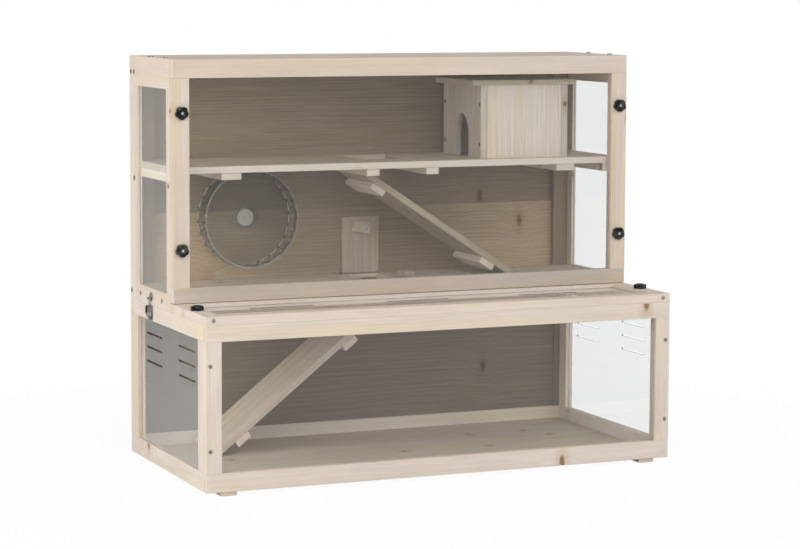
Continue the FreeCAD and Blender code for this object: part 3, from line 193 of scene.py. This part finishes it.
# A pattern in the pine: how often it changes per metre along the board and across it, the detail
# and roughness of its noise, and the two levels between which it goes from nothing to full
Pattern = namedtuple("Pattern", "along across detail roughness low high", defaults=(0.0, 1.0))
FIBRE = Pattern(9.0, 520.0, 3, 0.65, 0.3, 0.7)
PORES = Pattern(28.0, 1500.0, 2, 0.5, 0.60, 0.78)
STRIPE = Pattern(0.9, 22.0, 2, 0.6, 0.42, 0.66)
BLUSH = Pattern(2.6, 9.0, 3, 0.6, 0.45, 0.7)
CLOUD = Pattern(4.0, 14.0, 4, 0.6, 0.3, 0.7)
STREAK = Pattern(7.0, 130.0, 3, 0.6, 0.32, 0.68)
WANDER = Pattern(0.7, 5.0, 3, 0.5)

# How much of its own colour each pattern, a knot, its halo and a sawn end lend the wood
STRIPE_SHARE = 0.75
BLUSH_SHARE = 0.55
RING_SHARE = 0.20
PORE_SHARE = 0.13
KNOT_SHARE = 0.8
HALO_SHARE = 0.30
SAWN_SHARE = 0.10

# How far fibres, clouds, streaks and one board after another darken and lighten the wood
FIBRE_DARK = 0.06
FIBRE_LIGHT = 0.04
CLOUD_SWING = 0.045
STREAK_DARK = 0.055
STREAK_LIGHT = 0.045
BOARD_SWING = 0.07

# Where a board is cut from the tree, in metres along it and on two axes across it. The board's
# number sets the place along, and the sines of the number times CUT_TURNS set the other two. Above
# a joint, UPPER_BOARD is added to the number.
CUT_ALONG = 23.0
CUT_TURNS = (43, 71)
CUT_ACROSS = 0.09
CUT_DEPTH = 0.06
CUT_DEPTH_SWING = 0.03
UPPER_BOARD = 0.37

# Year rings per metre, how far they wander, bend at a knot and vary in width, in metres, how often
# the width changes per metre, and where in each ring the late wood begins and ends
RINGS_PER_METRE = 150
RING_WANDER = 0.035
RING_BEND = 0.011
RING_UNEVEN = 0.010
RING_CHANGES = 90
LATE_BEGINS = (0.25, 0.86)
LATE_ENDS = (0.88, 1.0)

# Places for a knot per metre, how they stretch along the board and lean through it, and the share
# of them that stays bare. A knot's edge is ragged by KNOT_RAGGED and changes RAGGED_CHANGES times
# per metre. The spans are distances from its middle, over which its edge, its halo and the bend of
# the rings round it fade out, in shares of the space between two places. KNOT_RINGS sets how close
# its own rings are, and KNOT_RINGS_SHOW how far the pale and the dark ones turn to its heart.
KNOTS_PER_METRE = 6.5
KNOT_STRETCH = 0.75
KNOT_LEAN = 0.35
KNOT_BARE = 0.68
KNOT_RAGGED = 0.035
RAGGED_CHANGES = 160
KNOT_EDGE = (0.035, 0.062)
KNOT_HALO_SPAN = (0.055, 0.15)
KNOT_BEND_SPAN = (0.03, 0.33)
KNOT_RINGS = 420
KNOT_RINGS_SHOW = (0.25, 0.85)

# What a knot multiplies the wood's colour by: around it, in its pale rings and in its dark ones
KNOT_HALO = (0.71, 0.44, 0.21, 1.0)
KNOT_RING = (0.39, 0.20, 0.08, 1.0)
KNOT_HEART = (0.21, 0.095, 0.037, 1.0)

# How squarely a surface faces along the grain before it is a sawn end, and where on a jointed
# wall, in metres from its middle, painted light from the side windows brightens the lower board
SAWN_FACING = (0.7, 0.95)
PAINTED_LIGHT_SPAN = (0.10, 0.52)

# The wood's sheen, how high its fibres and rings stand and its pores sink, and the height in metres
WOOD_FIBRE_SPAN = (0.25, 0.75)
WOOD_ROUGHNESS = (0.50, 0.68)
WOOD_GLOSS = 0.35
FIBRE_HEIGHT = 0.6
RING_HEIGHT = 0.5
PORE_DEPTH = 0.35
WOOD_BUMP = 0.14
WOOD_BUMP_DEPTH = 0.0006


def noise_of(s, board, pattern, output="Fac"):
    """A pattern's noise at a place in a board."""
    stretch = (pattern.along, pattern.across, pattern.across)
    return s.noise(s.vector("MULTIPLY", board, stretch), 1.0, pattern.detail,
                   pattern.roughness, output)


def amount_of(s, board, pattern, start=0.0, end=1.0):
    """How much of a pattern there is at a place in a board, from start to end."""
    return s.span(noise_of(s, board, pattern), pattern.low, pattern.high, start, end)


def place_in_tree(s, axes, grain, number):
    """A place along the tree and on two axes across it, cut elsewhere for each board's number."""
    across, through = [axes[index] for index in range(3) if index != grain]
    first, second = [s.maths("SINE", s.times(number, turns)) for turns in CUT_TURNS]
    return s.join(s.maths("MULTIPLY_ADD", number, CUT_ALONG, axes[grain]),
                  s.plus(across, s.times(first, CUT_ACROSS)),
                  s.plus(through, s.maths("MULTIPLY_ADD", second, CUT_DEPTH_SWING, CUT_DEPTH)))


def find_knots(s, board, sawn):
    """Knots, each a short branch that runs through the board's thickness and not to its sawn end.

    Returns 1 where the nearest place holds a knot, the distance from its middle with a ragged
    edge, and how much the year rings bend.
    """
    along, across, through = s.split(board)
    field = s.add("ShaderNodeTexVoronoi", voronoi_dimensions="2D", feature="F1")
    leaning = s.maths("MULTIPLY_ADD", through, KNOT_LEAN, across)
    s.wire(s.join(s.times(along, KNOT_STRETCH), leaning, 0.0), field.inputs["Vector"])
    s.wire(KNOTS_PER_METRE, field.inputs["Scale"])
    distance = field.outputs["Distance"]
    chosen = s.maths("GREATER_THAN", s.split(field.outputs["Color"])[0], KNOT_BARE)
    chosen = s.times(chosen, s.maths("SUBTRACT", 1.0, sawn))
    ragged = s.plus(distance, s.times(s.noise(board, RAGGED_CHANGES), KNOT_RAGGED))
    bend = s.times(s.span(distance, *KNOT_BEND_SPAN, 1.0, 0.0), chosen)
    return chosen, ragged, bend


def find_late_wood(s, board, bend):
    """Year rings round a pith that lies beside the board and wanders along it."""
    _, across, through = s.split(board)
    wander = s.split(noise_of(s, board, WANDER, "Color"))
    lift = s.times(bend, RING_BEND)
    first = s.plus(s.maths("MULTIPLY_ADD", wander[0], RING_WANDER, across), lift)
    second = s.plus(s.maths("MULTIPLY_ADD", wander[1], RING_WANDER, through), lift)
    reach = s.vector("LENGTH", s.join(first, second, 0.0))
    uneven = s.times(s.noise(s.join(0.0, 0.0, reach), RING_CHANGES, detail=1), RING_UNEVEN)
    phase = s.maths("FRACT", s.times(s.plus(reach, uneven), RINGS_PER_METRE))
    return s.times(s.span(phase, *LATE_BEGINS), s.span(phase, *LATE_ENDS, 1.0, 0.0))


def wood(name, grain, tones, tilt=0.0, contrast=1.0, relief=1.0, joint=None, step=0.0,
         painted_light_ends=0.0):
    """Planed pine. grain is 0, 1 or 2 for boards that run along X, Y or Z.

    tones are the wood's pale, warm and rosy colours and that of its late-season rings. tilt turns
    the grain about Y, for a sloping board. Above the height joint the wood is another board,
    lighter by step, and painted light from the side windows brightens both ends of the board
    below it, by the last argument. contrast and relief say how strongly the grain is drawn and
    felt.
    """
    pale, warm, rosy, line = tones
    s = Shader(name)
    place = s.place()
    sawn = 0.0
    if tilt:
        turn = s.add("ShaderNodeVectorRotate", rotation_type="Y_AXIS")
        s.wire(place, turn.inputs["Vector"])
        s.wire(tilt, turn.inputs["Angle"])
        place = turn.outputs[0]
    else:
        facing = s.split(s.facing())[grain]
        sawn = s.span(s.maths("ABSOLUTE", facing), *SAWN_FACING)
    axes = s.split(place)
    number = s.island()
    if joint:
        above = s.maths("GREATER_THAN", axes[2], joint)
        number = s.plus(number, s.times(above, UPPER_BOARD))
    board = place_in_tree(s, axes, grain, number)
    chosen, ragged, bend = find_knots(s, board, sawn)
    late = find_late_wood(s, board, bend)
    fibre = noise_of(s, board, FIBRE)
    pores = amount_of(s, board, PORES)

    # Broad stripes and blushes of tone, and the rings
    colour = s.mix(s.times(amount_of(s, board, STRIPE), STRIPE_SHARE), pale, warm)
    colour = s.mix(s.times(amount_of(s, board, BLUSH), BLUSH_SHARE), colour, rosy)
    colour = s.mix(s.times(late, RING_SHARE * contrast), colour, line)

    # Light and dark fibres, clouds, streaks and boards
    shade = s.span(fibre, FIBRE.low, FIBRE.high,
                   1.0 - FIBRE_DARK * contrast, 1.0 + FIBRE_LIGHT * contrast)
    shade = s.plus(shade, amount_of(s, board, CLOUD, -CLOUD_SWING, CLOUD_SWING))
    shade = s.plus(shade, amount_of(s, board, STREAK, -STREAK_DARK * contrast,
                                    STREAK_LIGHT * contrast))
    shade = s.plus(shade, s.maths("MULTIPLY_ADD", number, BOARD_SWING, -BOARD_SWING / 2))
    if joint:
        shade = s.plus(shade, s.times(above, step))
        # Painted light: the side windows' light, painted on both ends of the lower board
        painted_light = s.span(s.maths("ABSOLUTE", axes[0]), *PAINTED_LIGHT_SPAN, 0.0, painted_light_ends)
        shade = s.plus(shade, s.times(painted_light, s.maths("SUBTRACT", 1.0, above)))
    colour = s.mix(s.times(pores, PORE_SHARE), s.scale(colour, shade), line)

    # A knot and the stained wood round it
    halo = s.times(s.span(ragged, *KNOT_HALO_SPAN, HALO_SHARE, 0.0), chosen)
    colour = s.mix(halo, colour, KNOT_HALO, "MULTIPLY")
    rings = s.span(s.maths("SINE", s.times(ragged, KNOT_RINGS)), -1.0, 1.0, *KNOT_RINGS_SHOW)
    knot = s.times(s.span(ragged, *KNOT_EDGE, 1.0, 0.0), chosen)
    colour = s.mix(s.times(knot, KNOT_SHARE), colour, s.mix(rings, KNOT_RING, KNOT_HEART),
                   "MULTIPLY")

    # Sawn ends drink more and look darker
    colour = s.mix(s.times(sawn, SAWN_SHARE), colour, line)

    s.set(Base_Color=colour, Roughness=s.span(fibre, *WOOD_FIBRE_SPAN, *WOOD_ROUGHNESS),
          Specular_IOR_Level=WOOD_GLOSS)
    height = s.maths("MULTIPLY_ADD", fibre, FIBRE_HEIGHT, s.times(late, RING_HEIGHT))
    height = s.maths("SUBTRACT", height, s.times(pores, PORE_DEPTH))
    s.bump(height, WOOD_BUMP * relief, WOOD_BUMP_DEPTH)
    return s.material


SHEET_TINT = linear(254, 255, 255)
SHEET_BEND = 1.49
SHEET_GLOSS = 0.2


def clear(name, shadow_tint):
    """A clear plastic sheet. shadow_tint is what it leaves of the lamps' light."""
    s = Shader(name)
    s.set(Base_Color=SHEET_TINT, Transmission_Weight=1.0, IOR=SHEET_BEND, Roughness=0.0,
          Specular_IOR_Level=SHEET_GLOSS)
    s.let_lamps_through(shadow_tint)
    return s.material


# The running wheel: its slots, how wide the marks on its rim are, in metres, where the sine round
# it turns from a dark dash to a pale dash of painted highlight, its colours, among them the painted
# highlight of its front edge, and its sheen
WHEEL_SLOTS = 24
WHEEL_EDGE = 0.0034
WHEEL_BACK_MARK = 0.003
WHEEL_FRONT_MARK = 0.001
WHEEL_DASHES_SHOW = (-0.9, -0.3)
WHEEL_TINT = linear(228, 229, 229)
WHEEL_SHADOW_TINT = linear(248, 249, 249)
WHEEL_DARK_DASH = linear(84, 78, 70)
WHEEL_HIGHLIGHT_DASH = linear(206, 201, 192)
WHEEL_FRONT_HIGHLIGHT = linear(156, 151, 142)
WHEEL_BEND = 1.14
WHEEL_MARK_ROUGHNESS = 0.4
WHEEL_GLOSS = 0.15


def clear_wheel():
    """Clear plastic with dark dashes and painted highlight dashes round its back edge, and a
    painted highlight on its front edge.
    """
    low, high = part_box("wheel_rim")
    s = Shader("clear_wheel")
    place = s.place()
    spot = s.split(s.vector("SUBTRACT", place, tuple((low + high) / 2)))
    turn = s.maths("ARCTAN2", spot[0], spot[2])
    dash = s.span(s.maths("SINE", s.times(turn, WHEEL_SLOTS)), *WHEEL_DASHES_SHOW)
    radius = s.vector("LENGTH", s.join(spot[0], 0.0, spot[2]))
    outside = s.maths("GREATER_THAN", radius, (high[2] - low[2]) / 2 - WHEEL_EDGE)
    reach = s.split(place)[1]
    back = s.times(outside, s.maths("GREATER_THAN", reach, high[1] - WHEEL_BACK_MARK))
    edge = s.maths("MAXIMUM", back, s.maths("LESS_THAN", reach, low[1] + WHEEL_FRONT_MARK))
    dashes = s.mix(dash, WHEEL_DARK_DASH, WHEEL_HIGHLIGHT_DASH)
    # The pale dashes and the pale front edge are painted highlights on the clear rim
    s.set(Base_Color=s.mix(edge, WHEEL_TINT, s.mix(back, WHEEL_FRONT_HIGHLIGHT, dashes)),
          Transmission_Weight=s.maths("SUBTRACT", 1.0, edge), IOR=WHEEL_BEND,
          Roughness=s.times(edge, WHEEL_MARK_ROUGHNESS), Specular_IOR_Level=WHEEL_GLOSS)
    s.let_lamps_through(WHEEL_SHADOW_TINT)
    return s.material


# Moulded plastic: its rubbed high spots and how white they are, how much rougher it gets there,
# its clear coat, and how far its texture stands out
RUBBED_SCALE = 45
RUBBED_SPAN = (0.45, 0.75)
RUBBED_SHARE = 0.35
RUBBED_WHITE = 0.16
PLASTIC_ROUGHER = 0.16
PLASTIC_ROUGH_SPAN = (0.4, 1.5)
PLASTIC_COAT_ROUGHNESS = 0.12
PLASTIC_BUMP = 0.12
PLASTIC_BUMP_DEPTH = 0.0003


def moulded(name, colour, roughness, coat, grain_size, gloss=0.5):
    """Moulded plastic with a faint texture and rubbed high spots."""
    s = Shader(name)
    place = s.place()
    grain = s.noise(place, grain_size, detail=3)
    rubbed = s.span(s.noise(place, RUBBED_SCALE, detail=3), *RUBBED_SPAN)
    worn = s.mix(RUBBED_WHITE, colour, WHITE)
    s.set(Base_Color=s.mix(s.times(rubbed, RUBBED_SHARE), colour, worn),
          Roughness=s.span(s.plus(grain, rubbed), *PLASTIC_ROUGH_SPAN,
                           roughness, roughness + PLASTIC_ROUGHER),
          Coat_Weight=coat, Coat_Roughness=PLASTIC_COAT_ROUGHNESS, Specular_IOR_Level=gloss)
    s.bump(grain, PLASTIC_BUMP, PLASTIC_BUMP_DEPTH)
    return s.material


# Steel: its smears, its specks and its scratches, how much rougher it gets there, and how deep the
# scratches are
SMEAR_SCALE = 70
SMEAR_SPAN = (0.38, 0.68)
SPECK_SCALE = 900
SPECK_SPAN = (0.62, 0.74)
SPECK_COLOUR = linear(58, 50, 42)
SCRATCH_STRETCH = (2600.0, 2600.0, 140.0)
STEEL_ROUGHER = 0.22
STEEL_ROUGH_SPAN = (0.3, 1.6)
STEEL_BUMP = 0.10
STEEL_BUMP_DEPTH = 0.0002


def metal(name, bright, dull, roughness, stain):
    """Plated or blackened steel with smears, specks and fine scratches."""
    s = Shader(name)
    place = s.place()
    smear = s.span(s.noise(place, SMEAR_SCALE, detail=4, roughness=0.65), *SMEAR_SPAN)
    speck = s.span(s.noise(place, SPECK_SCALE), *SPECK_SPAN)
    scratch = s.noise(s.vector("MULTIPLY", place, SCRATCH_STRETCH))
    colour = s.mix(s.times(speck, stain), s.mix(smear, bright, dull), SPECK_COLOUR)
    s.set(Base_Color=colour, Metallic=1.0,
          Roughness=s.span(s.plus(smear, scratch), *STEEL_ROUGH_SPAN,
                           roughness, roughness + STEEL_ROUGHER))
    s.bump(scratch, STEEL_BUMP, STEEL_BUMP_DEPTH)
    return s.material


# How finely the edges of each kind of piece are eased, in metres, and what counts as one point,
# as flat and as an edge
WOOD_EASE = 0.0013
SHEET_EASE = 0.0004
PLASTIC_EASE = 0.0003
STEEL_EASE = 0.00015
EASE_SEGMENTS = 2
SAME_POINT = 1e-5
FLAT_ANGLE = math.radians(0.3)
EDGE_ANGLE = math.radians(32)


def ease(item, width):
    """Round an item's edges by a small width."""
    weld = item.modifiers.new("weld", "WELD")
    weld.merge_threshold = SAME_POINT
    flatten = item.modifiers.new("flatten", "DECIMATE")
    flatten.decimate_type = "DISSOLVE"
    flatten.angle_limit = FLAT_ANGLE
    flatten.delimit = {"MATERIAL"}
    bevel = item.modifiers.new("ease", "BEVEL")
    bevel.width = width
    bevel.segments = EASE_SEGMENTS
    bevel.limit_method = "ANGLE"
    bevel.angle_limit = EDGE_ANGLE
    bevel.use_clamp_overlap = True
    bevel.harden_normals = True


def dress(material, width, *names):
    for name in names:
        item = nodes[name]
        item.data.materials.clear()
        item.data.materials.append(material)
        ease(item, width)


def wood_tones(*colours):
    """A wood's pale, warm and rosy colours and that of its rings."""
    return [linear(*colour) for colour in colours]


# The last three tones are the same pine darkened by painted shade, for boards and faces inside the
# cage
FRAME_TONES = wood_tones((229, 217, 206), (230, 213, 183), (227, 207, 196), (196, 170, 140))
STILE_TONES = wood_tones((221, 208, 195), (222, 204, 173), (218, 197, 184), (188, 162, 132))
DOOR_TONES = wood_tones((204, 193, 183), (205, 190, 163), (202, 184, 174), (174, 151, 124))
BOARD_TONES = wood_tones((204, 190, 175), (206, 189, 156), (200, 180, 166), (165, 143, 117))
SHADED_TONES = wood_tones((182, 168, 152), (184, 167, 138), (178, 159, 145), (146, 126, 103))
WALL_SHADE_TONES = wood_tones((153, 135, 112), (155, 135, 104), (149, 126, 106), (116, 96, 75))
BACK_SHADE_TONES = wood_tones((126, 112, 96), (128, 112, 88), (122, 105, 91), (94, 78, 61))

# How strongly the grain of the frame, of the hut and flap, and of the walls is drawn
FRAME_CONTRAST = 0.45
HUT_CONTRAST = 1.1
WALL_CONTRAST = 1.5
WALL_RELIEF = 0.15

# The door's rails are lighter above their middle, by DOOR_RAIL_STEP. The back wall's lower board
# ends at WALL_SEAM above the box, in metres. Above it the wall is darker, by WALL_STEP, and below
# it lighter at both ends by painted light from the side windows, by the last of these.
DOOR_RAIL_STEP = 0.14
WALL_SEAM = 0.199
WALL_STEP = -0.12
WALL_PAINTED_LIGHT = 0.65

# The slopes of the ramps, in degrees
UPPER_RAMP_SLOPE = -33.2
LOWER_RAMP_SLOPE = 38.2

pine_x, pine_y, pine_z = (wood(f"pine_frame_{'xyz'[grain]}", grain, FRAME_TONES,
                               contrast=FRAME_CONTRAST) for grain in range(3))
plain_board = wood("plain_board", 0, BOARD_TONES)
rail_low, rail_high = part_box("door_rails")
door_rail_pine = wood("door_rail_pine", 0, DOOR_TONES, contrast=FRAME_CONTRAST,
                      joint=(rail_low[2] + rail_high[2]) / 2, step=DOOR_RAIL_STEP)
wall_board = wood("wall_board", 0, WALL_SHADE_TONES, contrast=WALL_CONTRAST, relief=WALL_RELIEF,
                  joint=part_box("lower_long_rails")[1][2] + WALL_SEAM, step=WALL_STEP,
                  painted_light_ends=WALL_PAINTED_LIGHT)
back_board = wood("back_board", 0, BACK_SHADE_TONES, contrast=WALL_CONTRAST, relief=WALL_RELIEF)

# Each wood and the pieces that it dresses
WOODEN = (
    (pine_x, ("lower_long_rails", "lid_long_rails", "back_crown_rail", "roof_board")),
    (pine_y, ("lower_side_rails", "lid_end_rails", "cabinet_side_rails", "cross_bearers",
              "shelf_cleats", "ramp_battens", "runners")),
    (pine_z, ("lower_posts", "lower_side_stiles", "cabinet_side_stiles", "front_posts",
              "back_corner_posts")),
    (wood("door_stile_pine", 2, STILE_TONES, contrast=FRAME_CONTRAST), ("door_stiles",)),
    (door_rail_pine, ("door_rails",)),
    (wall_board, ("back_wall_boards",)),
    (back_board, ("lower_back_panel",)),
    (plain_board, ("shelf", "cabinet_floor", "lower_floor", "hut_roof")),
    (wood("hut_end_board", 2, FRAME_TONES, contrast=HUT_CONTRAST), ("hut_end_boards",)),
    (wood("hut_side_board", 2, DOOR_TONES, contrast=HUT_CONTRAST),
     ("hut_left_wall", "hut_right_wall")),
    (wood("flap_board", 2, SHADED_TONES, contrast=HUT_CONTRAST), ("hatch_flap",)),
    (wood("flap_button_board", 0, BOARD_TONES), ("flap_turn_button",)),
    (wood("button_board", 1, SHADED_TONES), ("floor_turn_button", "button_post")),
    (wood("upper_ramp_board", 0, SHADED_TONES, tilt=math.radians(UPPER_RAMP_SLOPE)),
     ("upper_ramp",)),
    (wood("lower_ramp_board", 0, BOARD_TONES, tilt=math.radians(LOWER_RAMP_SLOPE)),
     ("lower_ramp",)),
)
for material, names in WOODEN:
    dress(material, WOOD_EASE, *names)

dress(clear("front_sheet", linear(205, 207, 207)), SHEET_EASE,
      "lower_front_panel", "lid_panel", "door_panel")
dress(clear("side_sheet", linear(250, 251, 251)), SHEET_EASE,
      "lower_side_panels", "cabinet_side_panels")
dress(clear_wheel(), SHEET_EASE, "wheel_rim", "wheel_disc")

KNOBS = [name for name in nodes if name.endswith("_knob")]
pale_plastic = moulded("pale_plastic", linear(166, 160, 151), roughness=0.34, coat=0.3,
                       grain_size=500)
black_knob = moulded("black_knob", linear(10, 9, 10), roughness=0.24, coat=0.2,
                     grain_size=700, gloss=0.2)
# Painted shade: the dark brown seen through the slots, put on the slots' sides
painted_slot_shade = moulded("painted_slot_shade", linear(104, 97, 88), roughness=0.4, coat=0.0, grain_size=500)
dress(pale_plastic, PLASTIC_EASE, "wheel_hub", "wheel_axle")
dress(black_knob, PLASTIC_EASE, *KNOBS)

latch_steel = metal("latch_steel", linear(196, 194, 190), linear(150, 147, 142),
                    roughness=0.22, stain=0.5)
lever_steel = metal("lever_steel", linear(176, 177, 180), linear(118, 118, 121),
                    roughness=0.24, stain=0.4)
screw_steel = metal("screw_steel", linear(212, 207, 194), linear(164, 159, 146),
                    roughness=0.42, stain=0.5)
bolt_steel = metal("bolt_steel", linear(206, 202, 186), linear(166, 161, 144),
                   roughness=0.46, stain=0.5)
insert_steel = metal("insert_steel", linear(236, 236, 234), linear(198, 197, 194),
                     roughness=0.25, stain=0.3)
hut_screw_steel = metal("hut_screw_steel", linear(104, 99, 92), linear(70, 66, 60),
                        roughness=0.4, stain=0.5)
dress(latch_steel, STEEL_EASE, "latch_catches", "left_latch_loop", "right_latch_loop",
      "hatch_brackets", "hatch_pins")
dress(lever_steel, STEEL_EASE, "latch_bases", "left_latch_lever", "right_latch_lever",
      "flap_button_screw")
dress(screw_steel, STEEL_EASE, "lid_screws", "wood_screws")
dress(bolt_steel, STEEL_EASE, "frame_bolts")

# In metres: the radius of a knob's metal insert, margins that leave out the edges of the lid's
# sheet and of the wheel's rim, and how far the back posts stand from the cage's middle at least
INSERT_RADIUS = 0.0030
SHEET_MARGIN = 0.01
RIM_MARGIN = 0.002
POSTS_OUT = 0.1

# A face looks some way when more than this share of its direction does, and a slot's side is
# turned from the wheel's axis when less than this share of its direction points there
LOOKS = 0.5
LOOKS_SQUARELY = 0.9
TURNED_AWAY = 0.7

shelf_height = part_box("shelf")[0][2]
lid_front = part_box("lid_panel")[0][1]


def repaint(name, material, chosen):
    """Give the faces for which chosen(place, direction) is true another material."""
    item = nodes[name]
    item.data.materials.append(material)
    for face in item.data.polygons:
        if chosen(face.center, face.normal):
            face.material_index = 1


def outer_back(place, direction):
    return direction[1] > LOOKS


def rail_end(place, direction):
    return abs(direction[0]) > LOOKS_SQUARELY


def shelf_front(place, direction):
    return direction[1] < -LOOKS and place[1] < 0


def slot_back(place, direction):
    """The back faces of the lid sheet's slots, which look forwards, behind its front edge, for
    painted shade.
    """
    return direction[1] < -LOOKS and place[1] > lid_front + SHEET_MARGIN


def inner_back(place, direction):
    """Faces of the back posts that look forwards or into the cage, which get painted shade."""
    inwards = direction[0] * place[0] < -POSTS_OUT
    return place[1] > POSTS_OUT and (direction[1] < -LOOKS or inwards)


def in_hut(place, direction):
    """Faces of the screws that stand above the shelf."""
    return place[2] > shelf_height


def near_axis(name, axis):
    """Faces that lie on a knob's metal insert and stud."""
    low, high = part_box(name)
    middle = (low + high) / 2

    def chosen(place, direction):
        away = place - middle
        away[axis] = 0
        return away.length < INSERT_RADIUS

    return chosen


def in_slots():
    """Faces of the wheel rim's slots, which face neither its axis nor away from it, for painted
    shade.
    """
    low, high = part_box("wheel_rim")
    middle = (low + high) / 2

    def chosen(place, direction):
        away = place - middle
        away[1] = 0
        inside = low[1] + RIM_MARGIN < place[1] < high[1] - RIM_MARGIN
        return inside and abs(away.normalized().dot(direction)) < TURNED_AWAY

    return chosen


for knob in KNOBS:
    repaint(knob, insert_steel, near_axis(knob, 2 if knob.startswith("lid") else 1))
repaint("wheel_rim", painted_slot_shade, in_slots())
repaint("lid_panel", painted_slot_shade, slot_back)
# Painted shade: the back posts' faces inside the cage take the darker wall and back panel tones
repaint("back_corner_posts", wood("shaded_inner_back_corner_posts", 2, WALL_SHADE_TONES), inner_back)
repaint("lower_posts", wood("shaded_inner_lower_posts", 2, BACK_SHADE_TONES), inner_back)
# The back wall and panel carry their painted shade only inside: their outer faces take the plain
# board's tone
repaint("back_wall_boards", plain_board, outer_back)
repaint("lower_back_panel", plain_board, outer_back)
repaint("wood_screws", hut_screw_steel, in_hut)
repaint("shelf", pine_x, shelf_front)
repaint("door_rails", pine_x, rail_end)


def build_camera():
    camera = bpy.data.objects.new("camera", bpy.data.cameras.new("camera"))
    bpy.context.scene.collection.objects.link(camera)
    bpy.context.scene.camera = camera
    camera.data.lens = CAMERA_LENS
    camera.data.shift_x, camera.data.shift_y = CAMERA_SHIFT
    camera.data.clip_end = CAMERA_REACH
    level = math.cos(CAMERA_PITCH)
    forward = Vector((math.sin(CAMERA_YAW) * level, math.cos(CAMERA_YAW) * level,
                      -math.sin(CAMERA_PITCH)))
    right = Vector((math.cos(CAMERA_YAW), -math.sin(CAMERA_YAW), 0.0))
    up = right.cross(forward)
    rolled_right = math.cos(CAMERA_ROLL) * right + math.sin(CAMERA_ROLL) * up
    rolled_up = math.cos(CAMERA_ROLL) * up - math.sin(CAMERA_ROLL) * right
    turn = Matrix((rolled_right, rolled_up, -forward)).transposed().to_4x4()
    camera.matrix_world = Matrix.Translation(CAMERA_PLACE) @ turn


# Light that has not scattered off a surface yet has done so fewer times than this
UNSCATTERED = 0.5


def seen_straight(s):
    """1 where the camera looks straight at a surface or through clear sheets, otherwise 0."""
    path = s.add("ShaderNodeLightPath")
    straight = s.maths("MAXIMUM", path.outputs["Is Camera Ray"],
                       path.outputs["Is Transmission Ray"])
    return s.times(straight, s.maths("LESS_THAN", path.outputs["Diffuse Depth"], UNSCATTERED))


def build_floor():
    """A plain white floor that keeps the cage's shadow and fades into the background."""
    bpy.ops.mesh.primitive_plane_add(size=FLOOR_SIZE)
    floor = bpy.context.object
    floor.name = "floor"
    s = Shader("pale_floor")
    s.set(Base_Color=FLOOR_COLOUR, Roughness=0.9, Specular_IOR_Level=0.1)
    fade = s.span(s.vector("LENGTH", s.place()), *FLOOR_FADE, FLOOR_GLOW, 1.0)
    glow = s.add("ShaderNodeEmission")
    s.blend_surfaces(s.times(seen_straight(s), fade), s.bsdf, glow)
    floor.data.materials.append(s.material)


def build_world():
    """Soft grey light all round, and a white background."""
    world = bpy.data.worlds.new("studio")
    bpy.context.scene.world = world
    s = WorldShader(world)
    soft = s.add("ShaderNodeBackground")
    s.wire(WORLD_TINT, soft.inputs["Color"])
    s.wire(WORLD_LIGHT, soft.inputs["Strength"])
    background = s.add("ShaderNodeBackground")
    s.wire(WHITE, background.inputs["Color"])
    s.blend_surfaces(seen_straight(s), soft, background)


def build_lamps():
    for name, (place, target, width, height, power) in LAMPS.items():
        data = bpy.data.lights.new(name, "AREA")
        data.shape = "RECTANGLE"
        data.size = width
        data.size_y = height
        data.energy = power
        lamp = bpy.data.objects.new(name, data)
        bpy.context.scene.collection.objects.link(lamp)
        lamp.location = place
        away = Vector(place) - Vector(target)
        lamp.rotation_mode = "QUATERNION"
        lamp.rotation_quaternion = away.to_track_quat("Z", "Y")
        lamp.visible_camera = False
        lamp.visible_glossy = name == "key"


build_camera()
build_floor()
build_world()
build_lamps()
bpy.context.scene.view_settings.view_transform = "Standard"
